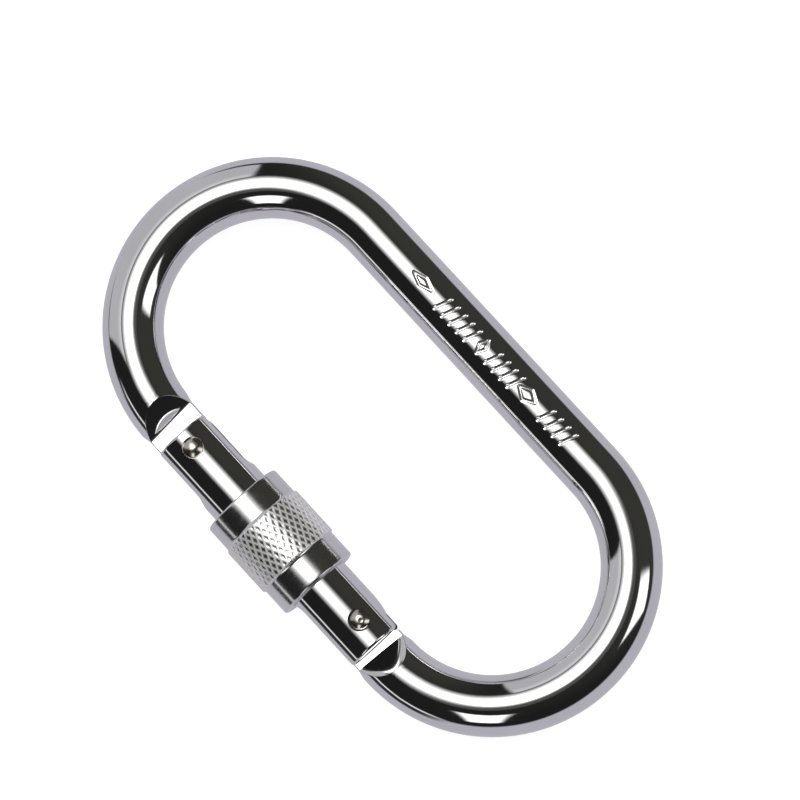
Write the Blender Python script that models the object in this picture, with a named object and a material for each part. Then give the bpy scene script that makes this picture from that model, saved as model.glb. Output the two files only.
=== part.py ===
"""An oval screw-lock carabiner in steel: a bent bar closed by a sprung gate with a sliding lock sleeve.

Lengths are in metres. The part lies flat. +X runs to the hinge end, +Y from the gate to the spine, and
+Z is up, square to the eye. The origin is under the middle of the part's box, at the lowest level.
"Across" is the distance from the gate's axis towards the spine.
"""

import math

import bmesh
import bpy
from mathutils import Matrix, Vector

# The bent bar.
BAR_RADIUS = 0.0050
BOW_RADIUS = 0.0225
STRAIGHT_HALF = 0.0265

# The gate, along X from its nose end to its hinge end.
GATE_RADIUS = 0.00534
GATE_NOSE_X = -0.0232
GATE_HINGE_X = 0.0235
GATE_CHAMFER = 0.0006
THREAD_RADIUS = 0.0060
THREAD_FROM_X = -0.0087
THREAD_TO_X = 0.0088

# The tongues that the bar's two ends are milled down to, and the gate's slots over them.
TONGUE_HALF = 0.00225
SLOT_HALF = 0.00245
NOSE_TIP_X = -0.0156
HINGE_TIP_X = 0.0132
NOSE_SLOT_END_X = -0.01175
HINGE_SLOT_END_X = 0.00945
SLOT_WALL_ACROSS = 0.0036
SLOT_WALL_END_X = 0.0207

# Each milled ramp climbs from its crease, on the tongue's face, to its rim, on the bar's top.
NOSE_CREASE_X = -0.0259
NOSE_RIM_X = -0.0297
NOSE_LEAN = -0.06
HINGE_CREASE_X = 0.0247
HINGE_RIM_X = 0.0286
HINGE_LEAN = 0.055
RAMP_RADIUS = 0.0079

# The two rivets.
SHANK_RADIUS = 0.0015
HOLE_RADIUS = 0.00158
LATCH_X = -0.0199
LATCH_HEAD_RADIUS = 0.0017
LATCH_RECESS_RADIUS = 0.00186
HINGE_X = 0.0187
HINGE_ACROSS = 0.0011
HINGE_HEAD_RADIUS = 0.0016
HINGE_RECESS_RADIUS = 0.00225
RECESS_FLOOR = 0.0046
HEAD_TOP = 0.0056

# The lock sleeve.
SLEEVE_FROM_X = -0.0089
SLEEVE_TO_X = 0.0097
SLEEVE_RADIUS = 0.00715
SLEEVE_BORE_RADIUS = 0.0062
SLEEVE_EDGE = 0.0007
BAND_FROM_X = -0.0042
BAND_TO_X = 0.0048
BAND_RADIUS = 0.0075

# The return spring and its pusher, in a blind bore inside the gate.
SPRING_ACROSS = 0.0018
SPRING_BORE_RADIUS = 0.0015
SPRING_BORE_END_X = -0.0060
SPRING_FROM_X = -0.0058
SPRING_TO_X = 0.0068
SPRING_TURNS = 8
SPRING_WIRE_RADIUS = 0.0002
SPRING_COIL_RADIUS = 0.0011
PUSHER_FROM_X = 0.0071
PUSHER_TO_X = 0.0129
PUSHER_RADIUS = 0.0014

# Facets round each kind of piece. Every facet touches the true circle.
BAR_SIDES = 32
BOW_STEPS = 21
GATE_SIDES = 32
SLEEVE_SIDES = 40
RIVET_SIDES = 24
WIRE_SIDES = 5
WIRE_STEPS = 10
ROUND_STEPS = 6
CUT = 0.0075

CENTRE_Y = (BAND_RADIUS - BAR_RADIUS) / 2
GATE_Y = CENTRE_Y - BOW_RADIUS
MID_Z = BAND_RADIUS


def clear_scene():
    for obj in list(bpy.data.objects):
        bpy.data.objects.remove(obj, do_unlink=True)


def at(x, across, height):
    """A point from its place along the gate, across from the gate's axis and above the mid-plane."""
    return Vector((x, GATE_Y + across, MID_Z + height))


def material(name, colour, roughness):
    made = bpy.data.materials.new(name)
    made.use_nodes = True
    shader = made.node_tree.nodes["Principled BSDF"]
    shader.inputs["Base Color"].default_value = (*colour, 1.0)
    shader.inputs["Metallic"].default_value = 1.0
    shader.inputs["Roughness"].default_value = roughness
    return made


def add_object(name, bm):
    bmesh.ops.recalc_face_normals(bm, faces=bm.faces)
    mesh = bpy.data.meshes.new(name)
    bm.to_mesh(mesh)
    bm.free()
    obj = bpy.data.objects.new(name, mesh)
    bpy.context.scene.collection.objects.link(obj)
    return obj


def finish(obj, finish_material, origin):
    """Give a piece its material and smooth shading, and put its origin on its own axis."""
    obj.data.materials.append(finish_material)
    obj.data.shade_smooth()
    obj.data.set_sharp_from_angle(angle=math.radians(30))
    obj.data.transform(Matrix.Translation(-origin))
    obj.location = origin


def hang_on(obj, parent):
    obj.parent = parent
    obj.matrix_parent_inverse = Matrix.Translation(-parent.location)


def circle(centre, first, second, radius, sides):
    """Points round a centre whose facets touch the circle, with a facet square to each main direction."""
    corner = radius / math.cos(math.pi / sides)
    angles = [2 * math.pi * (i + 0.5) / sides for i in range(sides)]
    return [centre + corner * (math.cos(a) * first + math.sin(a) * second) for a in angles]


def loft(name, rings, closed=False):
    """A solid through rings of equal count, capped at both ends or joined into a loop."""
    bm = bmesh.new()
    loops = [[bm.verts.new(point) for point in ring] for ring in rings]
    pairs = list(zip(loops, loops[1:]))
    if closed:
        pairs.append((loops[-1], loops[0]))
    for low, high in pairs:
        for i in range(len(low)):
            j = (i + 1) % len(low)
            bm.faces.new((low[i], low[j], high[j], high[i]))
    if not closed:
        bm.faces.new(loops[0])
        bm.faces.new(loops[-1])
    return add_object(name, bm)


def turned(name, profile, centre, axis, sides, closed=False):
    """A turned solid from (distance along the axis, radius) pairs."""
    along = Vector(axis)
    first = Vector((0, 1, 0))
    second = along.cross(first)
    rings = [circle(centre + d * along, first, second, r, sides) for d, r in profile]
    return loft(name, rings, closed)


def cut(obj, cutter):
    cutter.hide_render = True
    cutter.display_type = "WIRE"
    boolean = obj.modifiers.new(cutter.name, "BOOLEAN")
    boolean.operation = "DIFFERENCE"
    boolean.solver = "EXACT"
    boolean.object = cutter


def plan_cutter(name, outline, low=-CUT, high=CUT):
    """A cutter with an outline of (x, across) points, running through the part's thickness."""
    return loft(name, [[at(x, a, h) for x, a in outline] for h in (low, high)])


def side_cutter(name, outline, low, high, lean=0.0):
    """A cutter with an outline of (x, height) points, running across the gate and leaning with it."""
    return loft(name, [[at(x + lean * a, a, h) for x, h in outline] for a in (low, high)])


def arc(centre, radius, start, end, steps=ROUND_STEPS):
    """Points on an arc in a plane, from one angle to another in degrees."""
    turns = [math.radians(start + (end - start) * i / steps) for i in range(steps + 1)]
    return [(centre[0] + radius * math.cos(t), centre[1] + radius * math.sin(t)) for t in turns]


def ramp_outline(crease_x, rim_x, inside_x, side):
    """The side outline of a milling cut: a concave ramp, then the tongue's flat face."""
    crease = Vector((crease_x, TONGUE_HALF))
    rim = Vector((rim_x, BAR_RADIUS))
    chord = crease - rim
    out = Vector((-chord.y, chord.x)).normalized()
    if out.y < 0:
        out = -out
    centre = (rim + crease) / 2 + out * math.sqrt(RAMP_RADIUS**2 - (chord.length / 2) ** 2)
    low = math.atan2(crease.y - centre.y, crease.x - centre.x)
    high_x = centre.x + math.copysign(math.sqrt(RAMP_RADIUS**2 - (CUT - centre.y) ** 2), rim_x)
    high = math.atan2(CUT - centre.y, high_x - centre.x)
    ramp = arc(centre, RAMP_RADIUS, math.degrees(high), math.degrees(low))
    outline = ramp + [(inside_x, TONGUE_HALF), (inside_x, CUT)]
    return [(x, side * h) for x, h in outline]


def bar_rings():
    """Rings along the bar, from the nose tongue round both bows to the hinge tongue."""
    up = Vector((0, 0, 1))

    def ring(x, y, outward):
        return circle(Vector((x, y, MID_Z)), outward, up, BAR_RADIUS, BAR_SIDES)

    rings = [ring(NOSE_TIP_X, GATE_Y, Vector((0, -1, 0)))]
    step = math.pi / BOW_STEPS
    for side in (-1, 1):
        for i in range(BOW_STEPS + 1):
            angle = -math.pi / 2 + i * step if side < 0 else math.pi / 2 - i * step
            outward = Vector((side * math.cos(angle), math.sin(angle), 0))
            reach = BOW_RADIUS if i in (0, BOW_STEPS) else BOW_RADIUS / math.cos(step / 2)
            rings.append(
                ring(side * STRAIGHT_HALF + reach * outward.x, CENTRE_Y + reach * outward.y, outward)
            )
    rings.append(ring(HINGE_TIP_X, GATE_Y, Vector((0, -1, 0))))
    return rings


def nose_outline():
    """What is cut from the nose tongue round its rounded tip and its slanting inner edge."""
    tip = NOSE_TIP_X
    outer = arc((tip - 0.0020, -0.0030), 0.0020, -90, 0)
    inner = arc((tip - 0.0018, 0.0024), 0.0018, 0, 80)
    return (
        [(tip + 0.0015, -CUT), (tip - 0.0020, -CUT)]
        + outer
        + inner
        + [(NOSE_CREASE_X, 0.0051), (NOSE_CREASE_X, CUT), (tip + 0.0015, CUT)]
    )


def nose_notch():
    """The hook's notch, open to the inner side, with a pocket behind its lip for the latch rivet."""
    seat = arc((LATCH_X, 0.0), 0.00195, 180, 360)
    lip_x = NOSE_TIP_X - 0.00225
    return (
        [(LATCH_X - 0.00195, CUT)]
        + seat
        + [(lip_x + 0.0002, 0.0009), (lip_x + 0.0002, 0.0017), (lip_x, 0.0024), (lip_x + 0.0001, CUT)]
    )


def hinge_outline():
    """What is cut from the hinge tongue: its tip, and the relief that lets the gate's inner wall swing."""
    tip = HINGE_TIP_X
    inner = arc((tip + 0.0012, 0.0018), 0.0012, 90, 180)
    outer = arc((tip + 0.0022, -0.0030), 0.0022, 180, 270)
    relief = [(HINGE_CREASE_X - 0.0005, CUT), (HINGE_CREASE_X - 0.0006, 0.0050), (0.0228, 0.0024)]
    return relief + [(0.0200, 0.0024)] + inner + outer + [(tip - 0.0015, -CUT), (tip - 0.0015, CUT)]


def make_body(finish_material):
    """The bent bar with its two milled, drilled and notched ends."""
    body = loft("carabiner_body", bar_rings())
    for side, word in ((1, "top"), (-1, "bottom")):
        nose = ramp_outline(NOSE_CREASE_X, NOSE_RIM_X, NOSE_TIP_X + 0.002, side)
        cut(body, side_cutter(f"nose_mill_{word}", nose, -CUT, CUT, NOSE_LEAN))
        hinge = ramp_outline(HINGE_CREASE_X, HINGE_RIM_X, HINGE_TIP_X - 0.002, side)
        cut(body, side_cutter(f"hinge_mill_{word}", hinge, -CUT, CUT, HINGE_LEAN))
    cut(body, plan_cutter("nose_outline_cutter", nose_outline()))
    cut(body, plan_cutter("nose_notch_cutter", nose_notch()))
    cut(body, plan_cutter("hinge_outline_cutter", hinge_outline()))
    cut(body, drill("hinge_tongue_drill", HINGE_X, HINGE_ACROSS, HOLE_RADIUS, -CUT, CUT))
    finish(body, finish_material, Vector((0, CENTRE_Y, MID_Z)))
    return body


def drill(name, x, across, radius, low, high):
    """A round cutter along Z."""
    return turned(name, [(low, radius), (high, radius)], at(x, across, 0), (0, 0, 1), RIVET_SIDES)


def gate_profile():
    """The gate's turned profile, with its raised threaded band."""
    small = GATE_RADIUS - GATE_CHAMFER
    flank = THREAD_RADIUS - GATE_RADIUS
    return [
        (GATE_NOSE_X, small),
        (GATE_NOSE_X + GATE_CHAMFER, GATE_RADIUS),
        (THREAD_FROM_X, GATE_RADIUS),
        (THREAD_FROM_X + flank, THREAD_RADIUS),
        (THREAD_TO_X - flank, THREAD_RADIUS),
        (THREAD_TO_X, GATE_RADIUS),
        (GATE_HINGE_X - 2 * GATE_CHAMFER, GATE_RADIUS),
        (GATE_HINGE_X - GATE_CHAMFER / 3, GATE_RADIUS - GATE_CHAMFER),
        (GATE_HINGE_X, GATE_RADIUS - 2 * GATE_CHAMFER),
    ]


def slot_outline(open_x, end_x):
    """A slot's side outline, with a full-round bottom at end_x."""
    inward = math.copysign(SLOT_HALF, open_x - end_x)
    bottom = arc((end_x + inward, 0.0), -inward, -90, 90, 2 * ROUND_STEPS)
    return [(open_x, math.copysign(SLOT_HALF, bottom[0][1]))] + bottom + [(open_x, bottom[-1][1])]


def make_gate(finish_material):
    """The gate: a turned bar, slotted at both ends, drilled for two rivets and bored for its spring."""
    gate = turned("gate", gate_profile(), at(0, 0, 0), (1, 0, 0), GATE_SIDES)
    nose_slot = slot_outline(GATE_NOSE_X - 0.002, NOSE_SLOT_END_X)
    cut(gate, side_cutter("nose_slot_cutter", nose_slot, -CUT, CUT))
    hinge_slot = slot_outline(GATE_HINGE_X + 0.002, HINGE_SLOT_END_X)
    cut(gate, side_cutter("hinge_slot_cutter", hinge_slot, -CUT, SLOT_WALL_ACROSS))
    slot_mouth = [
        (SLOT_WALL_END_X, -SLOT_HALF),
        (GATE_HINGE_X + 0.001, -SLOT_HALF),
        (GATE_HINGE_X + 0.001, SLOT_HALF),
        (SLOT_WALL_END_X, SLOT_HALF),
    ]
    cut(gate, side_cutter("hinge_slot_mouth_cutter", slot_mouth, 0.0, CUT))
    bore = [(SPRING_BORE_END_X, SPRING_BORE_RADIUS), (HINGE_SLOT_END_X + 0.001, SPRING_BORE_RADIUS)]
    cut(gate, turned("spring_bore_cutter", bore, at(0, SPRING_ACROSS, 0), (1, 0, 0), RIVET_SIDES))
    for word, x, across, recess in (
        ("latch", LATCH_X, 0.0, LATCH_RECESS_RADIUS),
        ("hinge", HINGE_X, HINGE_ACROSS, HINGE_RECESS_RADIUS),
    ):
        cut(gate, drill(f"{word}_hole_cutter", x, across, HOLE_RADIUS, -CUT, CUT))
        cut(gate, drill(f"{word}_recess_top_cutter", x, across, recess, RECESS_FLOOR, CUT))
        cut(gate, drill(f"{word}_recess_bottom_cutter", x, across, recess, -CUT, -RECESS_FLOOR))
    finish(gate, finish_material, at(HINGE_X, HINGE_ACROSS, 0))
    return gate


def make_rivet(name, x, across, head_radius, finish_material):
    """A rivet along Z with a low domed head at each end."""
    head_base = RECESS_FLOOR + 0.0001
    shoulder = head_base + 0.0004
    dome = [
        (shoulder, head_radius),
        (shoulder + 0.6 * (HEAD_TOP - shoulder), 0.85 * head_radius),
        (HEAD_TOP, 0.45 * head_radius),
    ]
    half = [(head_base, SHANK_RADIUS), (head_base + 0.00002, head_radius)] + dome
    profile = [(-h, r) for h, r in reversed(half)] + half
    rivet = turned(name, profile, at(x, across, 0), (0, 0, 1), RIVET_SIDES)
    finish(rivet, finish_material, at(x, across, 0))
    return rivet


def make_sleeve(finish_material):
    """The lock sleeve: a clear bore, two plain collars and the raised grip band between them."""
    edge = SLEEVE_EDGE
    rise = BAND_RADIUS - SLEEVE_RADIUS
    outside = [
        (SLEEVE_FROM_X, SLEEVE_RADIUS - edge),
        (SLEEVE_FROM_X + 0.3 * edge, SLEEVE_RADIUS - 0.3 * edge),
        (SLEEVE_FROM_X + edge, SLEEVE_RADIUS),
        (BAND_FROM_X, SLEEVE_RADIUS),
        (BAND_FROM_X + rise, BAND_RADIUS),
        (BAND_TO_X - rise, BAND_RADIUS),
        (BAND_TO_X, SLEEVE_RADIUS),
        (SLEEVE_TO_X - edge, SLEEVE_RADIUS),
        (SLEEVE_TO_X - 0.3 * edge, SLEEVE_RADIUS - 0.3 * edge),
        (SLEEVE_TO_X, SLEEVE_RADIUS - edge),
    ]
    inside = [(SLEEVE_TO_X, SLEEVE_BORE_RADIUS), (SLEEVE_FROM_X, SLEEVE_BORE_RADIUS)]
    profile = outside + inside
    sleeve = turned("locking_sleeve", profile, at(0, 0, 0), (1, 0, 0), SLEEVE_SIDES, closed=True)
    finish(sleeve, finish_material, at((SLEEVE_FROM_X + SLEEVE_TO_X) / 2, 0, 0))
    return sleeve


def make_spring(finish_material):
    """The return spring: a round wire on a helix along the gate's bore."""
    centre = at(0, SPRING_ACROSS, 0)
    count = SPRING_TURNS * WIRE_STEPS
    start = SPRING_FROM_X + SPRING_WIRE_RADIUS
    length = SPRING_TO_X - SPRING_FROM_X - 2 * SPRING_WIRE_RADIUS
    rise = math.atan2(length, 2 * math.pi * SPRING_COIL_RADIUS * SPRING_TURNS)
    rings = []
    for i in range(count + 1):
        turn = 2 * math.pi * i / WIRE_STEPS
        outward = Vector((0, math.cos(turn), math.sin(turn)))
        round_way = Vector((0, -math.sin(turn), math.cos(turn)))
        lift = math.cos(rise) * Vector((1, 0, 0)) - math.sin(rise) * round_way
        middle = centre + Vector((start + length * i / count, 0, 0)) + SPRING_COIL_RADIUS * outward
        rings.append(circle(middle, outward, lift, SPRING_WIRE_RADIUS, WIRE_SIDES))
    spring = loft("gate_spring", rings)
    finish(spring, finish_material, at(SPRING_FROM_X, SPRING_ACROSS, 0))
    return spring


def make_pusher(finish_material):
    """The pin between the spring and the hinge tongue's tip, rounded where it meets the tongue."""
    nose = PUSHER_RADIUS / 2
    profile = [
        (PUSHER_FROM_X, PUSHER_RADIUS - 0.0002),
        (PUSHER_FROM_X + 0.0002, PUSHER_RADIUS),
        (PUSHER_TO_X - nose, PUSHER_RADIUS),
        (PUSHER_TO_X - 0.35 * nose, 0.75 * PUSHER_RADIUS),
        (PUSHER_TO_X, 0.35 * PUSHER_RADIUS),
    ]
    pusher = turned("spring_pusher", profile, at(0, SPRING_ACROSS, 0), (1, 0, 0), RIVET_SIDES)
    finish(pusher, finish_material, at(PUSHER_FROM_X, SPRING_ACROSS, 0))
    return pusher


def main():
    clear_scene()
    make_body(material("body_steel", (0.78, 0.77, 0.78), 0.07))
    gate = make_gate(material("gate_steel", (0.77, 0.76, 0.77), 0.09))
    carried = [
        make_sleeve(material("sleeve_steel", (0.74, 0.73, 0.73), 0.22)),
        make_rivet(
            "latch_rivet",
            LATCH_X,
            0.0,
            LATCH_HEAD_RADIUS,
            material("latch_rivet_steel", (0.72, 0.68, 0.63), 0.25),
        ),
        make_rivet(
            "hinge_rivet",
            HINGE_X,
            HINGE_ACROSS,
            HINGE_HEAD_RADIUS,
            material("hinge_rivet_steel", (0.72, 0.68, 0.63), 0.25),
        ),
        make_spring(material("spring_steel", (0.55, 0.55, 0.56), 0.30)),
        make_pusher(material("pusher_steel", (0.66, 0.66, 0.67), 0.20)),
    ]
    for piece in carried:
        hang_on(piece, gate)


main()
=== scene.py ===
"""The looks of the oval screw-lock carabiner: polished steel pieces on a pale floor, in soft studio light.

Lengths are in metres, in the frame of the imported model: +X runs to the hinge end, +Y from the gate to the
spine and +Z up. "Across" is the distance from the gate's axis towards the spine. Each piece keeps the
place and size of the CAD node that it stands for.
"""

import math

import bpy
import numpy as np
from mathutils import Matrix, Vector, noise


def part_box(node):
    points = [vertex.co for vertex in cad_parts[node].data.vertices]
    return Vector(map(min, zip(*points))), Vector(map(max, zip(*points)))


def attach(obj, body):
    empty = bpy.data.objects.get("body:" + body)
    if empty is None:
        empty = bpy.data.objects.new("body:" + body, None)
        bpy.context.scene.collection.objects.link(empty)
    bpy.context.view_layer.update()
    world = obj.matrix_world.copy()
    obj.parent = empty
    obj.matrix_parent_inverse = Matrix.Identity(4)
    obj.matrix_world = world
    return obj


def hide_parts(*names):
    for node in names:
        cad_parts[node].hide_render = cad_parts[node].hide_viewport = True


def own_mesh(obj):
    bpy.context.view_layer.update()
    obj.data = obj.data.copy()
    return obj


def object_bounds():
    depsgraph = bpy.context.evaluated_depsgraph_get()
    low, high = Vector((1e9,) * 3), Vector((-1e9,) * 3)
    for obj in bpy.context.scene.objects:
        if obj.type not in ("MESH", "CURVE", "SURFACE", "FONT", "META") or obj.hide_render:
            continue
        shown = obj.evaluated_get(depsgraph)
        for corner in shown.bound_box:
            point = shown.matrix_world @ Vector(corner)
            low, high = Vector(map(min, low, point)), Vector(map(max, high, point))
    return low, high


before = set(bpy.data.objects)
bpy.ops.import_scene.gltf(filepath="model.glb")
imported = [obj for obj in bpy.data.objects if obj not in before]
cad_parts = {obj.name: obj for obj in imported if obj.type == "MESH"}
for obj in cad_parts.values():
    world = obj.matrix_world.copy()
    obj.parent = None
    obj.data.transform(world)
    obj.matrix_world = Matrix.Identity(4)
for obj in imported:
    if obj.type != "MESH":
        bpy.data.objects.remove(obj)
CAD_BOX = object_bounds()

# Sizes read from the frame.
BODY_LOW, BODY_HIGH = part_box("carabiner_body")
GATE_LOW, GATE_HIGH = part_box("gate")
SLEEVE_LOW, SLEEVE_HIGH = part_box("locking_sleeve")
LATCH_LOW, LATCH_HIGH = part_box("latch_rivet")
HINGE_LOW, HINGE_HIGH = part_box("hinge_rivet")
SPRING_LOW, SPRING_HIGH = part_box("gate_spring")
PUSHER_LOW, PUSHER_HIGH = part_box("spring_pusher")

MID_Z = (BODY_LOW.z + BODY_HIGH.z) / 2
CENTRE_Y = (BODY_LOW.y + BODY_HIGH.y) / 2
BAR_RADIUS = (BODY_HIGH.z - BODY_LOW.z) / 2
BOW_RADIUS = (BODY_HIGH.y - BODY_LOW.y) / 2 - BAR_RADIUS
STRAIGHT_HALF = (BODY_HIGH.x - BODY_LOW.x) / 2 - BOW_RADIUS - BAR_RADIUS
GATE_Y = CENTRE_Y - BOW_RADIUS
THREAD_RADIUS = (GATE_HIGH.z - GATE_LOW.z) / 2
BAND_RADIUS = (SLEEVE_HIGH.z - SLEEVE_LOW.z) / 2

# The bar's milled ends, by distance from the gate's middle: the tongue's tip, the ramp's crease and rim,
# how far the ramp leans across the bar, and the radius of its curve.
TONGUE_HALF = 0.00225
TONGUE_SIDE = 0.0046
NOSE_END = {"tip": 0.0156, "crease": 0.0259, "rim": 0.0297, "lean": 0.06, "curve": 0.060}
HINGE_END = {"tip": 0.0132, "crease": 0.0247, "rim": 0.0286, "lean": 0.055, "curve": 0.020}
RIM_ROUND = 0.00030
EDGE_ROUND = 0.00012

# The gate.
GATE_RADIUS = 0.00534
CORE_RADIUS = 0.0052
NOSE_END_ROUND = 0.00055
HINGE_END_ROUND = 0.00065
SLOT_HALF = 0.00245
NOSE_SLOT_END_X = -0.01175
HINGE_SLOT_END_X = 0.00945
SLOT_WALL_ACROSS = 0.0036
SLOT_WALL_END_X = 0.0207
RELIEF_FROM_X = 0.0164
RELIEF_RADIUS = 0.0150
THREAD_FROM_X = -0.0087
THREAD_TO_X = 0.0088
THREAD_PITCH = 0.00175
HOLE_RADIUS = 0.00158
LATCH_RECESS_RADIUS = 0.00180
HINGE_RECESS_RADIUS = 0.00190
RECESS_FLOOR = 0.0046
CUT = 0.0075

# The sleeve.
SLEEVE_RADIUS = 0.00715
SLEEVE_BORE_RADIUS = 0.0062
SLEEVE_EDGE = 0.0004
BAND_FROM_X = -0.0042
BAND_TO_X = 0.0048
KNURLS_ROUND = 44
KNURL_PITCH = 0.0020
KNURL_DEPTH = 0.000045
KNURL_STEPS = 10

# The rivets, spring and pusher.
SHANK_RADIUS = 0.0015
HEAD_SLOPE = math.radians(40)
WIRE_RADIUS = 0.0002
SPRING_TURNS = 8


# Mesh helpers


def mesh_object(name, points, faces):
    mesh = bpy.data.meshes.new(name)
    mesh.from_pydata(points.reshape(-1, 3).tolist(), [], faces)
    mesh.validate()
    obj = bpy.data.objects.new(name, mesh)
    bpy.context.scene.collection.objects.link(obj)
    return obj


def grid_object(name, points, closed=False):
    """A solid from points[ring, column]: the columns join round, and the rings are capped or joined too."""
    rings, columns = points.shape[:2]
    index = np.arange(rings * columns).reshape(rings, columns)
    low = index if closed else index[:-1]
    high = np.roll(index, -1, axis=0) if closed else index[1:]
    quads = np.stack([low, np.roll(low, -1, axis=1), np.roll(high, -1, axis=1), high], axis=-1)
    faces = quads.reshape(-1, 4).tolist()
    if not closed:
        faces += [index[0, ::-1].tolist(), index[-1].tolist()]
    obj = mesh_object(name, points, faces)
    face_out(obj.data)
    return obj


def frost(obj, amount):
    """Note how frosted the surface is, from 0 to 1, at each point of a new grid."""
    kept = obj.data.attributes.new("frost", "FLOAT", "POINT")
    kept.data.foreach_set("value", np.ascontiguousarray(amount, np.float32).ravel())


def face_out(mesh):
    """Turn a closed mesh's faces round if they point in."""
    mesh.calc_loop_triangles()
    corners = np.array([[mesh.vertices[v].co[:] for v in t.vertices] for t in mesh.loop_triangles])
    if np.linalg.det(corners - corners.mean(axis=(0, 1))).sum() < 0:
        mesh.flip_normals()


def cut(obj, cutter):
    """Cut a closed cutter from a closed piece, for good."""
    boolean = obj.modifiers.new("cut", "BOOLEAN")
    boolean.operation = "DIFFERENCE"
    boolean.solver = "MANIFOLD"
    boolean.object = cutter
    graph = bpy.context.evaluated_depsgraph_get()
    shaped = bpy.data.meshes.new_from_object(obj.evaluated_get(graph))
    obj.modifiers.clear()
    obj.data = shaped
    bpy.data.objects.remove(cutter)


def prism(name, low, high):
    """A closed prism between two outlines of equal count."""
    return grid_object(name, np.array([low, high], float))


def plan_cutter(outline):
    """A cutter with an outline of (x, across) points, running through the part's thickness."""
    return prism("cutter", *[[(x, GATE_Y + a, MID_Z + h) for x, a in outline] for h in (-CUT, CUT)])


def side_cutter(outline, low, high):
    """A cutter with an outline of (x, height) points, running across the gate."""
    return prism("cutter", *[[(x, GATE_Y + a, MID_Z + h) for x, h in outline] for a in (low, high)])


def arc(centre, radius, start, end, steps=12):
    """Points on an arc, from one angle to another in degrees."""
    turns = np.radians(np.linspace(start, end, steps + 1))
    return [(centre[0] + radius * math.cos(t), centre[1] + radius * math.sin(t)) for t in turns]


def turned_points(profile, centre, along, columns):
    """Points[ring, column] of a turned shape, from (distance along the axis, radius) pairs."""
    along = Vector(along)
    first = Vector((0, 1, 0))
    second = along.cross(first)
    angles = 2 * math.pi * np.arange(columns) / columns
    ring = np.outer(np.cos(angles), first) + np.outer(np.sin(angles), second)
    return np.array([np.array(centre) + d * np.array(along) + r * ring for d, r in profile])


def turned(name, profile, centre, along, columns, closed=False):
    return grid_object(name, turned_points(profile, centre, along, columns), closed)


def shade(obj, angle=50):
    obj.data.shade_smooth()
    obj.data.set_sharp_from_angle(angle=math.radians(angle))


def true_normals(obj, ideal, most_gap=0.00001):
    """Give corners on a known round surface its exact normal, so that reflections run clean past a cut."""
    mesh = obj.data
    count = len(mesh.loops)
    normals = np.empty(count * 3, np.float32)
    mesh.corner_normals.foreach_get("vector", normals)
    normals = normals.reshape(-1, 3)
    vertex = np.empty(count, np.int32)
    mesh.loops.foreach_get("vertex_index", vertex)
    places = np.empty(len(mesh.vertices) * 3, np.float32)
    mesh.vertices.foreach_get("co", places)
    sizes = np.empty(len(mesh.polygons), np.int32)
    mesh.polygons.foreach_get("loop_total", sizes)
    face_normals = np.empty(len(mesh.polygons) * 3, np.float32)
    mesh.polygons.foreach_get("normal", face_normals)
    face_normals = np.repeat(face_normals.reshape(-1, 3), sizes, axis=0)
    wanted, gap = ideal(places.reshape(-1, 3)[vertex].astype(float))
    use = (gap < most_gap) & ((wanted * face_normals).sum(axis=1) > 0.95)
    normals[use] = wanted[use]
    mesh.normals_split_custom_set(normals.tolist())


# The bent bar


def place_on_bar(run, out):
    """(distance from the gate's middle, across) of a point: run is the way along the bar from where the
    bow begins, and out is how far outside its centre line."""
    bow_length = math.pi * BOW_RADIUS
    turn = np.clip(run, 0, bow_length) / BOW_RADIUS
    before = np.minimum(run, 0)
    after = np.maximum(run - bow_length, 0)
    reach = BOW_RADIUS + out
    far = STRAIGHT_HALF + reach * np.sin(turn) + before - after
    return far, BOW_RADIUS - reach * np.cos(turn)


def run_at_lean(far, out, lean):
    """How far along the bar a leaning plane meets a line that runs out from the bar's centre line."""
    straight = far - lean * out - STRAIGHT_HALF
    reach = (BOW_RADIUS + out) * math.hypot(1, lean)
    bend = np.arcsin(np.clip((far - STRAIGHT_HALF + BOW_RADIUS * lean) / reach, -1, 1)) - math.atan(lean)
    return np.where(straight <= 0, straight, BOW_RADIUS * np.maximum(bend, 0))


SIDE_STEPS = 16
ROUND_STEPS = 4
TOP_STEPS = 18
BOTTOM_STEPS = 6


def quarter(height, spread, flat_steps):
    """(out, up) points of a quarter of the bar's section, from its side to its top. With a height under
    the radius the top is milled flat, with a rounded edge. Otherwise spread is the angle of its top."""
    if height < BAR_RADIUS:
        inner = BAR_RADIUS - EDGE_ROUND
        flat_half = math.sqrt(inner**2 - (height - EDGE_ROUND) ** 2)
        lift = math.atan2(height - EDGE_ROUND, flat_half)
        side = np.linspace(0, lift, SIDE_STEPS + 1)[:-1]
        edge = np.linspace(lift, math.pi / 2, ROUND_STEPS + 1)[:-1]
        flat = np.linspace(flat_half, 0, flat_steps + 1)
        out = [BAR_RADIUS * np.cos(side), flat_half + EDGE_ROUND * np.cos(edge), flat]
        up = [
            BAR_RADIUS * np.sin(side),
            height - EDGE_ROUND + EDGE_ROUND * np.sin(edge),
            np.full(flat_steps + 1, height),
        ]
        return np.concatenate(out), np.concatenate(up)
    flat_start = math.pi / 2 - spread
    edge_start = flat_start - 0.1 * spread
    turn = np.concatenate(
        [
            np.linspace(0, edge_start, SIDE_STEPS + 1)[:-1],
            np.linspace(edge_start, flat_start, ROUND_STEPS + 1)[:-1],
            np.linspace(flat_start, math.pi / 2, flat_steps + 1),
        ]
    )
    return BAR_RADIUS * np.cos(turn), BAR_RADIUS * np.sin(turn)


def section(height, spread):
    """(out, up) points round the bar's whole section."""
    top_out, top_up = quarter(height, spread, TOP_STEPS)
    low_out, low_up = quarter(height, spread, BOTTOM_STEPS)
    out = np.concatenate([top_out, -top_out[-2::-1], -low_out[1:], low_out[-2:0:-1]])
    up = np.concatenate([top_up, top_up[-2::-1], -low_up[1:], -low_up[-2:0:-1]])
    return out, up


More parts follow.
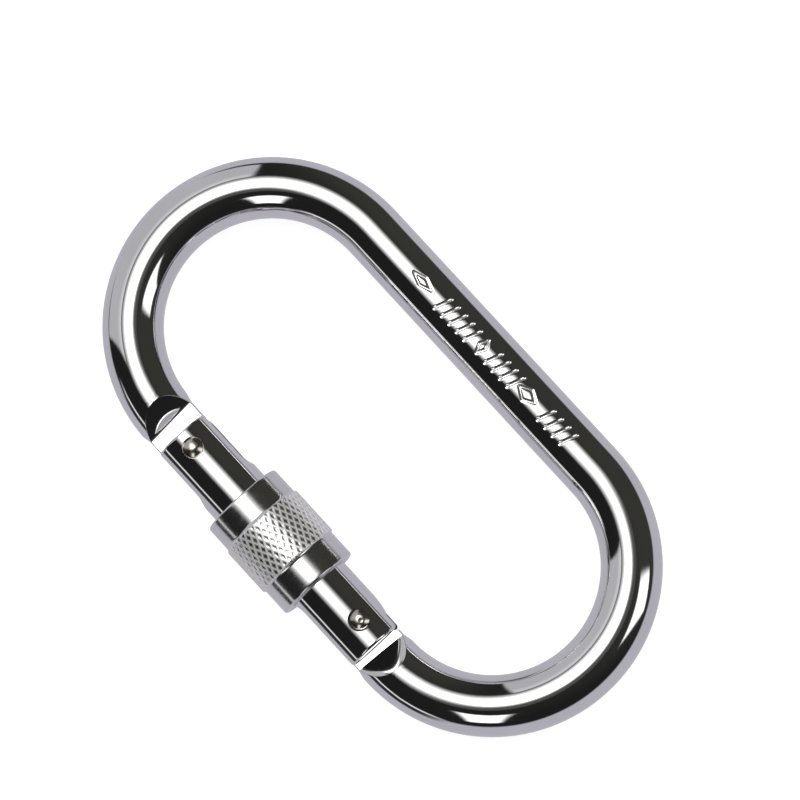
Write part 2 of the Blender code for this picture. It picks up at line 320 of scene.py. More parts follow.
FULL_SPREAD = math.radians(33)
RIM_SPREAD = math.radians(1.7)
SIDE_BLEND = 0.0016
BAR_BLEND = 0.0035
BOW_STEP = 0.0011
SPINE_STEP = 0.00016


def ramp_profile(end, heights):
    """(distance from the gate's middle, height) points up the concave ramp and over its rounded rim."""
    curve = end["curve"]
    crease = Vector((end["crease"], TONGUE_HALF))
    rim = Vector((end["rim"], BAR_RADIUS))
    chord = rim - crease
    away = Vector((-chord.y, chord.x)).normalized()
    centre = (rim + crease) / 2 + away * math.sqrt(curve**2 - (chord.length / 2) ** 2)
    steepest = math.asin((rim.x - centre.x) / curve)
    top = rim.x + RIM_ROUND * math.tan(steepest / 2)
    over = [
        (top - RIM_ROUND * math.sin(slope), BAR_RADIUS - RIM_ROUND * (1 - math.cos(slope)))
        for slope in np.linspace(steepest, 0.02, 12)
    ]
    ramp = [
        (centre.x + math.sqrt(curve**2 - (height - centre.y) ** 2), height)
        for height in heights
        if height < over[0][1] - 0.00002
    ]
    return ramp + over


def end_rings(end):
    """(run, out, up) arrays of one end's rings, from the tongue's tip to the full bar past the rim."""
    lean = end["lean"]
    rings = []

    def milled(far, height, leaning):
        out, up = section(height, RIM_SPREAD)
        side = np.interp(far - end["crease"], (0, SIDE_BLEND), (TONGUE_SIDE, BAR_RADIUS))
        out = np.clip(out, -side, side)
        rings.append((run_at_lean(far, out, leaning), out, up))

    for far in np.linspace(end["tip"], end["crease"] - 0.0008, 6):
        milled(far, TONGUE_HALF, 0.0)
    for gap in (0.0004, 0.00004):
        milled(end["crease"] - gap, TONGUE_HALF, lean)
    inner = BAR_RADIUS - EDGE_ROUND
    widest = math.sqrt(inner**2 - (TONGUE_HALF - EDGE_ROUND) ** 2)
    heights = [EDGE_ROUND + math.sqrt(inner**2 - half**2) for half in np.linspace(widest, 0.0001, 44)[1:]]
    profile = ramp_profile(end, [TONGUE_HALF + 0.00002] + heights)
    for far, height in profile:
        milled(far, height, lean)
    for step in range(1, 13):
        share = step / 12
        spread = RIM_SPREAD + (FULL_SPREAD - RIM_SPREAD) * share
        out, up = section(BAR_RADIUS, spread)
        far = profile[-1][0] + 0.00005 + BAR_BLEND * share**1.5
        rings.append((run_at_lean(far, out, lean * (1 - share)), out, up))
    return rings


def bow_rings(start, stop, step):
    """Rings of the full bar from start to stop along its run."""
    out, up = section(BAR_RADIUS, FULL_SPREAD)
    count = max(int(abs(stop - start) / step), 1)
    return [(np.full(len(out), run), out, up) for run in np.linspace(start, stop, count + 1)[1:]]


def straighten(rings, count):
    """Rings that turn from the last leaning ring to one square across the bar."""
    run, out, up = rings[-1]
    goal = run.max() + 0.001
    return [(run + (goal - run) * i / count, out, up) for i in range(1, count + 1)]


def half_bar(end, spine_step):
    """Points[ring, column] of (distance from the gate's middle, across, up), from the tip to mid-spine."""
    rings = end_rings(end)
    rings += straighten(rings, 4)
    turned_to = rings[-1][0][0]
    spine_start = math.pi * BOW_RADIUS
    rings += bow_rings(turned_to, spine_start, BOW_STEP)
    rings += bow_rings(spine_start, spine_start + STRAIGHT_HALF, spine_step)
    made = []
    for run, out, up in rings:
        far, across = place_on_bar(run, out)
        made.append(np.stack([far, across, up], axis=-1))
    return np.array(made)


# The stamped marks on the spine: plain bars and lozenges, in millimetres along the spine and round the bar
# towards the outside. They are frosted by up to MARK_FROST.

MARK_HALF_WIDTH = 0.32
MARK_DEPTH = 0.16
MARK_MIDDLE = 0.30
MARK_HALF_HEIGHT = 1.5
MARK_FROST = 0.6


def slanted_bars(start, count, pitch):
    slant = 0.5
    return [
        (
            (start + i * pitch - slant, MARK_MIDDLE - MARK_HALF_HEIGHT),
            (start + i * pitch + slant, MARK_MIDDLE + MARK_HALF_HEIGHT),
        )
        for i in range(count)
    ]


def lozenge(middle, half_width, half_height):
    corners = [
        (middle - half_width, MARK_MIDDLE),
        (middle, MARK_MIDDLE + half_height),
        (middle + half_width, MARK_MIDDLE),
        (middle, MARK_MIDDLE - half_height),
    ]
    return list(zip(corners, corners[1:] + corners[:1]))


MARKS = (
    lozenge(-14.5, 2.1, 0.75)
    + slanted_bars(-9.6, 5, 1.75)
    + lozenge(-0.2, 0.7, 1.4)
    + slanted_bars(2.4, 4, 1.75)
    + lozenge(10.4, 1.9, 1.1)
    + slanted_bars(14.9, 4, 1.75)
)


def mark_depth(x, offset):
    """How deep the marks are stamped at points on the spine, in metres."""
    spot = np.stack([x, offset], axis=-1) * 1000
    nearest = np.full(x.shape, 9.0)
    for start, end in MARKS:
        start, end = np.array(start), np.array(end)
        way = end - start
        share = np.clip(((spot - start) @ way) / (way @ way), 0, 1)
        gap = np.linalg.norm(spot - start - share[..., None] * way, axis=-1)
        nearest = np.minimum(nearest, gap)
    rest = np.clip(nearest / MARK_HALF_WIDTH, 0, 1)
    return 0.001 * MARK_DEPTH * (1 - rest**2) ** 2


def stamp(points):
    """Press the marks into the top of the spine, and give how frosted each point is."""
    axis_y = CENTRE_Y + BOW_RADIUS
    out = points[..., 1] - axis_y
    up = points[..., 2] - MID_Z
    on_spine = (np.abs(points[..., 0]) < STRAIGHT_HALF) & (up > 0) & (np.abs(out) < BAR_RADIUS)
    offset = BAR_RADIUS * np.arctan2(out, up)
    depth = np.where(on_spine, mark_depth(points[..., 0], offset), 0)
    shrink = 1 - depth / BAR_RADIUS
    points[..., 1] = np.where(on_spine, axis_y + out * shrink, points[..., 1])
    points[..., 2] = np.where(on_spine, MID_Z + up * shrink, points[..., 2])
    return MARK_FROST * depth / (0.001 * MARK_DEPTH)


def nose_outline():
    """What is cut from the nose tongue round its rounded tip and its slanting inner edge."""
    tip = -NOSE_END["tip"]
    outer = arc((tip - 0.0020, -0.0030), 0.0020, -90, 0)
    inner = arc((tip - 0.0018, 0.0024), 0.0018, 0, 80)
    return (
        [(tip + 0.0015, -CUT), (tip - 0.0020, -CUT)]
        + outer
        + inner
        + [(-NOSE_END["crease"], 0.0051), (-NOSE_END["crease"], CUT), (tip + 0.0015, CUT)]
    )


def nose_notch():
    """The hook's notch, open to the inner side, with a pocket behind its lip for the latch rivet."""
    latch_x = (LATCH_LOW.x + LATCH_HIGH.x) / 2
    lip_x = -NOSE_END["tip"] - 0.00225
    seat = arc((latch_x, 0.0), 0.00195, 180, 360)
    pocket = [(lip_x + 0.0002, 0.0009), (lip_x + 0.0002, 0.0017), (lip_x, 0.0024)]
    return [(latch_x - 0.00195, CUT)] + seat + pocket + [(lip_x + 0.0001, CUT)]


def hinge_outline():
    """What is cut from the hinge tongue: its tip, and the relief that lets the gate's inner wall swing."""
    tip, crease = HINGE_END["tip"], HINGE_END["crease"]
    inner = arc((tip + 0.0012, 0.0018), 0.0012, 90, 180)
    outer = arc((tip + 0.0022, -0.0030), 0.0022, 180, 270)
    relief = [(crease - 0.0005, CUT), (crease - 0.0006, 0.0050), (0.0228, 0.0024), (0.0200, 0.0024)]
    return relief + inner + outer + [(tip - 0.0015, -CUT), (tip - 0.0015, CUT)]


def drill(node_low, node_high, low, high):
    """A round cutter along Z on the axis of a rivet, between two (height, radius) ends."""
    middle = (node_low + node_high) / 2
    return turned("cutter", [low, high], (middle.x, middle.y, MID_Z), (0, 0, 1), 96)


def make_body():
    """The bent bar, stamped, with its tongues cut to outline and the hinge rivet's hole drilled."""
    nose, hinge = half_bar(NOSE_END, SPINE_STEP), half_bar(HINGE_END, SPINE_STEP)
    nose[..., 0] *= -1
    points = np.concatenate([nose[:-1], hinge[::-1]])
    points[..., 1] += GATE_Y
    points[..., 2] += MID_Z
    stamped = stamp(points)
    body = grid_object("polished_body", points)
    frost(body, stamped)
    cut(body, plan_cutter(nose_outline()))
    cut(body, plan_cutter(nose_notch()))
    cut(body, plan_cutter(hinge_outline()))
    cut(body, drill(HINGE_LOW, HINGE_HIGH, (-CUT, HOLE_RADIUS), (CUT, HOLE_RADIUS)))
    shade(body)
    return body


# The gate


def gate_points():
    """Points[ring, column] of the gate's turned bar, with its screw thread cut on the raised band."""
    low, high = GATE_LOW.x, GATE_HIGH.x
    ends = arc((low + NOSE_END_ROUND, GATE_RADIUS - NOSE_END_ROUND), NOSE_END_ROUND, 180, 90, 8)
    plain_from, plain_to = low + NOSE_END_ROUND + 0.0004, THREAD_FROM_X - 0.0002
    plain = [(x, GATE_RADIUS) for x in np.linspace(plain_from, plain_to, 10)]
    thread = [(x, GATE_RADIUS) for x in np.arange(THREAD_FROM_X, THREAD_TO_X, 0.00011)]
    after = [(x, GATE_RADIUS) for x in np.linspace(THREAD_TO_X, high - HINGE_END_ROUND - 0.0004, 10)]
    round_middle = (high - HINGE_END_ROUND, GATE_RADIUS - HINGE_END_ROUND)
    tail = arc(round_middle, HINGE_END_ROUND, 90, 0, 10)
    points = turned_points(ends + plain + thread + after + tail, (0, GATE_Y, MID_Z), (1, 0, 0), 128)
    x = points[..., 0]
    out = points[..., 1:] - np.array((GATE_Y, MID_Z))
    turn = np.arctan2(out[..., 1], out[..., 0]) / (2 * math.pi)
    phase = (x / THREAD_PITCH - turn) % 1
    tooth = np.clip(2.6 * np.abs(phase - 0.5) - 0.25, 0, 1)
    crest = CORE_RADIUS + (THREAD_RADIUS - CORE_RADIUS) * (1 - tooth)
    fade = np.clip(np.minimum(x - THREAD_FROM_X, THREAD_TO_X - x) / 0.0006, 0, 1)
    radius = GATE_RADIUS + (crest - GATE_RADIUS) * fade
    scale = np.where(fade > 0, radius / GATE_RADIUS, 1)
    points[..., 1:] = np.array((GATE_Y, MID_Z)) + out * scale[..., None]
    return points


def slot_outline(open_x, end_x):
    """A slot's side outline, with a full-round bottom at end_x."""
    inward = math.copysign(SLOT_HALF, open_x - end_x)
    bottom = arc((end_x + inward, 0.0), -inward, -90, 90, 24)
    return [(open_x, math.copysign(SLOT_HALF, bottom[0][1]))] + bottom + [(open_x, bottom[-1][1])]


def gate_surface(places):
    """(normal, distance from it) of the gate's cylinder at points."""
    out = places[:, 1:] - np.array((GATE_Y, MID_Z))
    length = np.linalg.norm(out, axis=1)
    normal = np.zeros_like(places)
    normal[:, 1:] = out / np.maximum(length, 1e-9)[:, None]
    return normal, np.abs(length - GATE_RADIUS)


def make_gate():
    """The gate, slotted at both ends, relieved beside the hinge, and drilled for its spring and rivets."""
    gate = grid_object("polished_gate", gate_points())
    cut(gate, side_cutter(slot_outline(GATE_LOW.x - 0.002, NOSE_SLOT_END_X), -CUT, CUT))
    cut(gate, side_cutter(slot_outline(GATE_HIGH.x + 0.002, HINGE_SLOT_END_X), -CUT, SLOT_WALL_ACROSS))
    mouth_x = GATE_HIGH.x + 0.001
    mouth = [(SLOT_WALL_END_X, -SLOT_HALF), (mouth_x, -SLOT_HALF), (mouth_x, SLOT_HALF)]
    cut(gate, side_cutter(mouth + [(SLOT_WALL_END_X, SLOT_HALF)], 0.0, CUT))
    relief = [
        (x, GATE_RADIUS + 0.00001 - (x - RELIEF_FROM_X) ** 2 / (2 * RELIEF_RADIUS))
        for x in np.linspace(RELIEF_FROM_X, SLOT_WALL_END_X + 0.0001, 16)
    ]
    cut(gate, plan_cutter(relief + [(SLOT_WALL_END_X + 0.0001, CUT), (RELIEF_FROM_X, CUT)]))
    across = (SPRING_LOW.y + SPRING_HIGH.y) / 2
    bore = [(-0.0060, 0.0015), (HINGE_SLOT_END_X + 0.001, 0.0015)]
    cut(gate, turned("cutter", bore, (0, across, MID_Z), (1, 0, 0), 48))
    for low, high, recess in (
        (LATCH_LOW, LATCH_HIGH, LATCH_RECESS_RADIUS),
        (HINGE_LOW, HINGE_HIGH, HINGE_RECESS_RADIUS),
    ):
        cut(gate, drill(low, high, (-CUT, HOLE_RADIUS), (CUT, HOLE_RADIUS)))
        flare = (recess - HOLE_RADIUS) / (GATE_RADIUS - RECESS_FLOOR)
        mouth = HOLE_RADIUS + flare * (CUT - RECESS_FLOOR)
        cut(gate, drill(low, high, (RECESS_FLOOR, HOLE_RADIUS + 0.00002), (CUT, mouth)))
        cut(gate, drill(low, high, (-CUT, mouth), (-RECESS_FLOOR, HOLE_RADIUS + 0.00002)))
    shade(gate)
    true_normals(gate, gate_surface)
    return gate


# The sleeve


def make_sleeve():
    """The lock sleeve: two satin collars and a raised band of crossed ridges with pits between."""
    edge, low, high = SLEEVE_EDGE, SLEEVE_LOW.x, SLEEVE_HIGH.x
    start = arc((low + edge, SLEEVE_RADIUS - edge), edge, 180, 90, 6)
    stop = arc((high - edge, SLEEVE_RADIUS - edge), edge, 90, 0, 6)
    rise = BAND_RADIUS - SLEEVE_RADIUS
    step = KNURL_PITCH / KNURL_STEPS
    band = [(x, BAND_RADIUS) for x in np.arange(BAND_FROM_X + rise, BAND_TO_X - rise + step / 2, step)]
    profile = (
        start
        + [(x, SLEEVE_RADIUS) for x in (low + 2 * edge, BAND_FROM_X - 0.0004, BAND_FROM_X - 0.00003)]
        + [(BAND_FROM_X, SLEEVE_RADIUS + 0.1 * rise)]
        + band
        + [(BAND_TO_X, SLEEVE_RADIUS + 0.1 * rise)]
        + [(x, SLEEVE_RADIUS) for x in (BAND_TO_X + 0.00003, BAND_TO_X + 0.0004, high - 2 * edge)]
        + stop
        + [(high, SLEEVE_BORE_RADIUS + 0.0002), (high - 0.0003, SLEEVE_BORE_RADIUS)]
        + [(low + 0.0003, SLEEVE_BORE_RADIUS), (low, SLEEVE_BORE_RADIUS + 0.0002)]
    )
    columns = KNURLS_ROUND * KNURL_STEPS
    points = turned_points(profile, (0, GATE_Y, MID_Z), (1, 0, 0), columns)
    radius = np.array([r for _, r in profile])[:, None]
    x = np.array([d for d, _ in profile])[:, None]
    turn = np.arange(columns)[None, :] / KNURL_STEPS
    way = (x - BAND_FROM_X - rise) / KNURL_PITCH
    one, other = way + turn, way - turn
    ridge = np.maximum(np.cos(2 * math.pi * one), np.cos(2 * math.pi * other))
    pit = np.clip((0.7 - ridge) / 0.9, 0, 1)
    pit = pit * pit * (3 - 2 * pit)
    on_band = radius == BAND_RADIUS
    depth = np.where(on_band, KNURL_DEPTH * pit, 0)
    out = points[..., 1:] - np.array((GATE_Y, MID_Z))
    points[..., 1:] -= out * (depth / radius)[..., None]
    sleeve = grid_object("knurled_lock_sleeve", points, closed=True)
    frost(sleeve, np.where(on_band, 1 - pit, 0))
    shade(sleeve, 60)
    return sleeve


# The rivets, spring and pusher


def make_rivet(name, low, high, dimple, dent_seed):
    """A rivet with domed heads, slightly uneven and dimpled from peening."""
    middle = (low + high) / 2
    radius, top = (high.x - low.x) / 2, high.z - MID_Z
    base = top - radius * math.tan(HEAD_SLOPE / 2)
    ball = radius / math.sin(HEAD_SLOPE)
    slopes = np.linspace(HEAD_SLOPE, 0.01, 24)
    half = [(base, SHANK_RADIUS)] + [(top - ball * (1 - math.cos(t)), ball * math.sin(t)) for t in slopes]
    profile = [(-h, r) for h, r in reversed(half)] + half
    points = turned_points(profile, (middle.x, middle.y, MID_Z), (0, 0, 1), 96)
    for point in points.reshape(-1, 3):
        lift = abs(point[2] - MID_Z) - base
        if lift > 0:
            dent = 0.06 * lift * (1 + noise.noise(Vector(point) * 1100 + Vector((dent_seed, 0, 0))))
            gap = math.hypot(point[0] - middle.x - dimple[0], point[1] - middle.y - dimple[1])
            dent += dimple[2] * math.exp(-((gap / 0.0003) ** 2))
            point[2] -= math.copysign(dent, point[2] - MID_Z)
    rivet = grid_object(name, points)
    shade(rivet, 35)
    return rivet


def make_spring():
    """The return spring, with its end turns closed up."""
    coil = (SPRING_HIGH.z - SPRING_LOW.z) / 2 - WIRE_RADIUS
    steps, sides = 28 * SPRING_TURNS, 10
    share = np.linspace(0, 1, steps + 1)
    eased = share - 0.055 * np.sin(2 * math.pi * share)
    end_gap = 1.3 * WIRE_RADIUS
    start, length = SPRING_LOW.x + end_gap, SPRING_HIGH.x - SPRING_LOW.x - 2 * end_gap
    turn = 2 * math.pi * SPRING_TURNS * share
    across = (SPRING_LOW.y + SPRING_HIGH.y) / 2
    out = np.stack([np.zeros_like(turn), np.cos(turn), np.sin(turn)], axis=-1)
    middle = np.array((0, across, MID_Z)) + coil * out
    middle[:, 0] = start + length * eased
    angles = 2 * math.pi * np.arange(sides) / sides
    points = (
        middle[:, None, :]
        + WIRE_RADIUS * np.cos(angles)[None, :, None] * out[:, None, :]
        + WIRE_RADIUS * np.sin(angles)[None, :, None] * np.array((1.0, 0, 0))
    )
    spring = grid_object("coiled_return_spring", points)
    shade(spring)
    return spring


def make_pusher():
    """The pin that carries the spring's push to the hinge tongue, with a rounded nose."""
    radius = (PUSHER_HIGH.z - PUSHER_LOW.z) / 2
    across = (PUSHER_LOW.y + PUSHER_HIGH.y) / 2
    low, high = PUSHER_LOW.x, PUSHER_HIGH.x
    turns = np.radians(np.arange(0, 89, 8))
    nose = [(high - radius * (1 - math.sin(t)), radius * math.cos(t)) for t in turns]
    profile = [(low, radius - 0.0002), (low + 0.0002, radius), (high - 1.5 * radius, radius)] + nose
    pusher = turned("rounded_pusher", profile, (0, across, MID_Z), (1, 0, 0), 48)
    shade(pusher)
    return pusher


# Materials


def add_node(tree, kind, links=(), values=(), **settings):
    """A shader node. links are (input, source) and values are (input, value) pairs."""
    made = tree.nodes.new(kind)
    for key, value in settings.items():
        setattr(made, key, value)
    for socket, value in values:
        made.inputs[socket].default_value = value
    for socket, source in links:
        tree.links.new(source, made.inputs[socket])
    return made


def remap(tree, source, low, high, to_low, to_high):
    """Map a value from one range to another, clamped."""
    values = [("From Min", low), ("From Max", high), ("To Min", to_low), ("To Max", to_high)]
    return add_node(tree, "ShaderNodeMapRange", [("Value", source)], values).outputs["Result"]


def smooth(tree, source, low, high, to_low, to_high):
    """Map a value from one range to another along a smooth curve, clamped."""
    mapped = remap(tree, source, low, high, to_low, to_high)
    mapped.node.interpolation_type = "SMOOTHSTEP"
    return mapped


def maths(tree, operation, first, second=None):
    """A maths node on one or two sources, or a source and a number."""
    links, values = [(0, first)], []
    if isinstance(second, (int, float)):
        values.append((1, second))
    elif second is not None:
        links.append((1, second))
    return add_node(tree, "ShaderNodeMath", links, values, operation=operation).outputs["Value"]


def fade(tree, source, edges):
    """Rises from 0 to 1 between the first two edges and falls back between the last two."""
    rising = smooth(tree, source, edges[0], edges[1], 0.0, 1.0)
    falling = smooth(tree, source, edges[2], edges[3], 1.0, 0.0)
    return maths(tree, "MULTIPLY", rising, falling)


FROST_ROUGHNESS = 0.36
FROST_METALLIC = 0.72


def steel(name, colour, roughness, grain=(1, 1, 1), scratch=0.1, wave=0.1):
    """Bright steel: slow waviness from polishing, fine scratches along the grain, and uneven gloss. It is
    paler and duller where the mesh is marked as frosted."""
    made = bpy.data.materials.new(name)
    made.use_nodes = True
    tree = made.node_tree
    shader = tree.nodes["Principled BSDF"]
    place = add_node(tree, "ShaderNodeTexCoord").outputs["Object"]
    stretched = add_node(
        tree, "ShaderNodeMapping", [("Vector", place)], [("Scale", grain)]
    ).outputs["Vector"]
    fine = add_node(
        tree, "ShaderNodeTexNoise", [("Vector", stretched)], [("Scale", 9000.0), ("Detail", 3.0)]
    ).outputs["Fac"]
    slow = add_node(
        tree, "ShaderNodeTexNoise", [("Vector", place)], [("Scale", 260.0), ("Detail", 2.0)]
    ).outputs["Fac"]
    stain = add_node(
        tree, "ShaderNodeTexNoise", [("Vector", place)], [("Scale", 90.0), ("Detail", 4.0)]
    ).outputs["Fac"]
    ramp = add_node(tree, "ShaderNodeValToRGB", [("Fac", stain)])
    tint = ramp.color_ramp.elements
    tint[0].position, tint[1].position = 0.35, 0.65
    tint[0].color = (*[0.95 * c for c in colour], 1)
    tint[1].color = (*colour, 1)
    tree.links.new(ramp.outputs["Color"], shader.inputs["Base Color"])
    gloss = remap(tree, fine, 0.35, 0.75, 0.8 * roughness, 1.5 * roughness)
    frosted = add_node(tree, "ShaderNodeAttribute", attribute_name="frost").outputs["Fac"]
    gloss = maths(tree, "MAXIMUM", gloss, maths(tree, "MULTIPLY", frosted, FROST_ROUGHNESS))
    tree.links.new(remap(tree, frosted, 0, 1, 1, FROST_METALLIC), shader.inputs["Metallic"])
    tree.links.new(gloss, shader.inputs["Roughness"])
    waves = add_node(
        tree, "ShaderNodeBump", [("Height", slow)], [("Strength", wave), ("Distance", 0.00005)]
    ).outputs["Normal"]
    bump = add_node(
        tree,
        "ShaderNodeBump",
        [("Height", fine), ("Normal", waves)],
        [("Strength", scratch), ("Distance", 0.000004)],
    ).outputs["Normal"]
    tree.links.new(bump, shader.inputs["Normal"])
    return made


# The studio

VIEW_TILT = math.radians(5.5)
VIEW_ROLL = math.radians(47.39)
CAMERA_DISTANCE = 0.8
CAMERA_LENS = 222.8
TO_CAMERA = Vector((math.sin(VIEW_TILT), 0, math.cos(VIEW_TILT)))
LONG_WAY = Vector((math.cos(VIEW_TILT), 0, -math.sin(VIEW_TILT)))
RIGHT = math.cos(VIEW_ROLL) * LONG_WAY + math.sin(VIEW_ROLL) * Vector((0, 1, 0))
UP = -math.sin(VIEW_ROLL) * LONG_WAY + math.cos(VIEW_ROLL) * Vector((0, 1, 0))


def make_camera():
    """A long lens over the part, leaning a little towards its hinge end."""
    data = bpy.data.cameras.new("camera")
    data.lens = CAMERA_LENS
    data.sensor_width = 36.0
    data.clip_start, data.clip_end = 0.01, 20.0
    camera = bpy.data.objects.new("camera", data)
    bpy.context.scene.collection.objects.link(camera)
    aim = Vector((0, CENTRE_Y, MID_Z)) + 0.00304 * RIGHT + 0.00736 * UP
    turn = Matrix((RIGHT, UP, TO_CAMERA)).transposed()
    camera.matrix_world = Matrix.Translation(aim + CAMERA_DISTANCE * TO_CAMERA) @ turn.to_4x4()
    bpy.context.scene.camera = camera


def dot(tree, direction, axis):
    return add_node(
        tree, "ShaderNodeVectorMath", [(0, direction)], [(1, axis)], operation="DOT_PRODUCT"
    ).outputs["Value"]


def angle_from(tree, direction, axis):
    """Degrees between a direction and a fixed axis."""
    return maths(tree, "MULTIPLY", maths(tree, "ARCCOSINE", dot(tree, direction, axis)), 180 / math.pi)


def flat_angles(tree, direction):
    """A direction as degrees to the picture's right and up, off the camera's line."""
    side, rise = dot(tree, direction, RIGHT), dot(tree, direction, UP)
    squares = maths(tree, "ADD", maths(tree, "MULTIPLY", side, side), maths(tree, "MULTIPLY", rise, rise))
    spread = maths(tree, "MAXIMUM", maths(tree, "SQRT", squares), 0.0001)
    stretch = maths(tree, "DIVIDE", angle_from(tree, direction, TO_CAMERA), spread)
    return maths(tree, "MULTIPLY", side, stretch), maths(tree, "MULTIPLY", rise, stretch)


# What the studio holds. Angles are in degrees off the camera's line, to the picture's right and up. Each
# item fades in over its first two angles and out over its last two, and later items cover earlier ones.
# "round" is the distance from the middle of the overhead light, and "slant" runs down to the right.
LIGHT_MIDDLE = (-14, 15)
STUDIO = (
    {"right": (-20, 30, 399, 400), "up": (-50, 20, 399, 400), "glow": (0.042, 0.042, 0.036)},
    {"right": (-100, -97, -15, -12), "up": (-1, 2, 95, 98), "glow": (0.53, 0.53, 0.55)},
    {
        "right": (-100, -97, -15, -12),
        "up": (-1, 2, 95, 98),
        "round": (-2, -1, 30, 46),
        "glow": (0.76, 0.76, 0.77),
    },
    {"round": (-2, -1, 28, 31), "glow": (0.09, 0.09, 0.085)},
    {"round": (-2, -1, 13, 30), "slant": (-400, -399, -9, 0), "glow": (1.4, 1.4, 1.38)},
    {"round": (-2, -1, 8, 18), "slant": (-400, -399, -12, -4), "glow": (5.0, 5.0, 4.9)},
    {"right": (-17, -13, -3, 1), "up": (-64, -60, -34, -30), "glow": (1.7, 1.7, 1.7)},
    {"right": (29, 34, 65, 70), "up": (-19, -15, 0, 5), "glow": (1.7, 1.7, 1.7)},
)
DARK = (0.015, 0.015, 0.015)
GROUND = (0.53, 0.52, 0.575)
GROUND_EDGE = 93.5
GROUND_LEAN = math.radians(14.5)
GROUND_TURN = math.radians(122)


def cover(tree, total, level, colour):
    """Lay a colour over the surroundings so far."""
    links, values = [("Factor", level), ("A", total)], [("B", (*colour, 1))]
    return add_node(tree, "ShaderNodeMix", links, values, data_type="RGBA").outputs["Result"]


def make_world():
    """Dark studio surroundings with a large overhead light, panels and a pale surface below. The camera
    itself sees plain white."""
    world = bpy.data.worlds.new("studio")
    world.use_nodes = True
    tree = world.node_tree
    direction = add_node(tree, "ShaderNodeTexCoord").outputs["Generated"]
    right, up = flat_angles(tree, direction)
    from_light = [maths(tree, "SUBTRACT", a, m) for a, m in zip((right, up), LIGHT_MIDDLE)]
    squares = [maths(tree, "MULTIPLY", d, d) for d in from_light]
    angles = {
        "right": right,
        "up": up,
        "round": maths(tree, "SQRT", maths(tree, "ADD", *squares)),
        "slant": maths(tree, "MULTIPLY", maths(tree, "SUBTRACT", right, up), math.sqrt(0.5)),
    }
    total = add_node(tree, "ShaderNodeRGB").outputs["Color"]
    total.default_value = (*DARK, 1)
    for item in STUDIO:
        level = None
        for key, source in angles.items():
            if key in item:
                mask = fade(tree, source, item[key])
                level = mask if level is None else maths(tree, "MULTIPLY", level, mask)
        total = cover(tree, total, level, item["glow"])
    aside = math.cos(GROUND_TURN) * RIGHT + math.sin(GROUND_TURN) * UP
    ground_up = math.cos(GROUND_LEAN) * TO_CAMERA + math.sin(GROUND_LEAN) * aside
    below = angle_from(tree, direction, ground_up)
    total = cover(tree, total, smooth(tree, below, GROUND_EDGE - 4, GROUND_EDGE + 4, 0.0, 1.0), GROUND)
    gate_side = smooth(tree, dot(tree, direction, Vector((0, -1, 0))), 0.86, 0.95, 0.0, 1.0)
    from_top = angle_from(tree, direction, Vector((0, 0, 1)))
    for edges, glow in (((80, 82, 102, 105), (0.03, 0.03, 0.03)), ((81, 83, 87, 89), (0.9, 0.9, 0.9))):
        total = cover(tree, total, maths(tree, "MULTIPLY", gate_side, fade(tree, from_top, edges)), glow)
    seen = add_node(tree, "ShaderNodeLightPath").outputs["Is Camera Ray"]
    shown = cover(tree, total, seen, (1, 1, 1))
    tree.links.new(shown, tree.nodes["Background"].inputs["Color"])
    bpy.context.scene.world = world


FLOOR_HALF = 2.0


def make_floor():
    """A white surface under the part. Reflections see the surroundings' own pale ground instead."""
    level = CAD_BOX[0].z - 0.0002
    signs = ((-1, -1), (1, -1), (1, 1), (-1, 1))
    corners = np.array([(x * FLOOR_HALF, y * FLOOR_HALF, level) for x, y in signs])
    floor = mesh_object("floor", corners, [(0, 1, 2, 3)])
    made = bpy.data.materials.new("white_table")
    made.use_nodes = True
    tree = made.node_tree
    shader = tree.nodes["Principled BSDF"]
    shader.inputs["Base Color"].default_value = (0.16, 0.16, 0.16, 1)
    shader.inputs["Roughness"].default_value = 1.0
    shader.inputs["Specular IOR Level"].default_value = 0.0
    shader.inputs["Emission Color"].default_value = (1, 1, 1, 1)
    shader.inputs["Emission Strength"].default_value = 0.93
    floor.data.materials.append(made)
    floor.visible_glossy = False


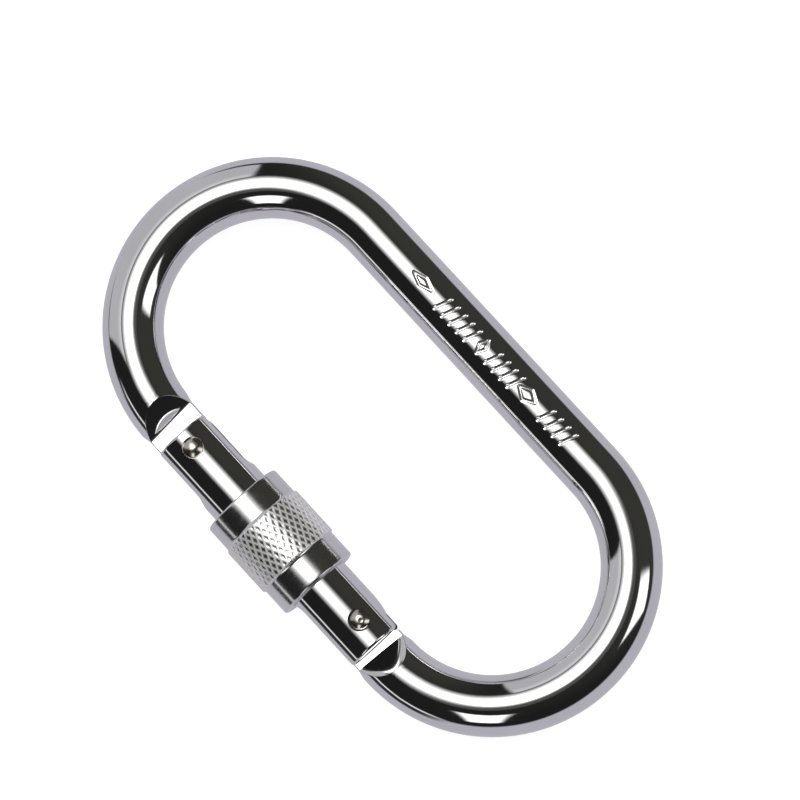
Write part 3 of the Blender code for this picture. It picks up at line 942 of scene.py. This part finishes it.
def make_light():
    """A broad soft light over the floor, kept out of reflections, for a faint shadow."""
    data = bpy.data.lights.new("overhead", "AREA")
    data.shape = "DISK"
    data.size = 1.2
    data.energy = 30.0
    light = bpy.data.objects.new("overhead", data)
    light.location = Vector((0, CENTRE_Y, MID_Z)) + 1.4 * Vector((-0.2, 0.3, 1.0))
    light.rotation_euler = (Vector((0, 0, 0)) - light.location).to_track_quat("-Z", "Y").to_euler()
    light.visible_glossy = False
    bpy.context.scene.collection.objects.link(light)


def dress(piece, body, node, material):
    """Give a piece its material, and put it in the place of its CAD node."""
    piece.data.materials.clear()
    piece.data.materials.append(material)
    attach(piece, body)
    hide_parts(node)


make_camera()
make_world()
make_floor()
make_light()

chrome = steel("body_steel", (0.80, 0.79, 0.80), 0.05, scratch=0.05, wave=0.03)
gate_chrome = steel("gate_steel", (0.79, 0.78, 0.79), 0.06, grain=(1, 0.1, 0.1), scratch=0.1, wave=0.03)
satin = steel("sleeve_steel", (0.78, 0.77, 0.77), 0.16, grain=(1, 0.12, 0.12), scratch=0.15, wave=0.03)
rivet_metal = steel("rivet_steel", (0.60, 0.55, 0.50), 0.20, wave=0.3)
spring_metal = steel("spring_steel", (0.55, 0.55, 0.56), 0.30, scratch=0.4)

dress(make_body(), "body", "carabiner_body", chrome)
dress(make_gate(), "gate_assembly", "gate", gate_chrome)
dress(make_sleeve(), "sleeve", "locking_sleeve", satin)
latch = make_rivet("domed_latch_rivet", LATCH_LOW, LATCH_HIGH, (0, 0, 0), 3.0)
dress(latch, "gate_assembly", "latch_rivet", rivet_metal)
hinge = make_rivet("domed_hinge_rivet", HINGE_LOW, HINGE_HIGH, (0.0003, 0.0001, 0.00009), 8.0)
dress(hinge, "gate_assembly", "hinge_rivet", rivet_metal)
spring = make_spring()
dress(spring, "gate_assembly", "gate_spring", spring_metal)
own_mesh(spring)
dress(make_pusher(), "pusher", "spring_pusher", spring_metal)

bpy.context.scene.view_settings.view_transform = "Standard"
bpy.context.view_layer.update()
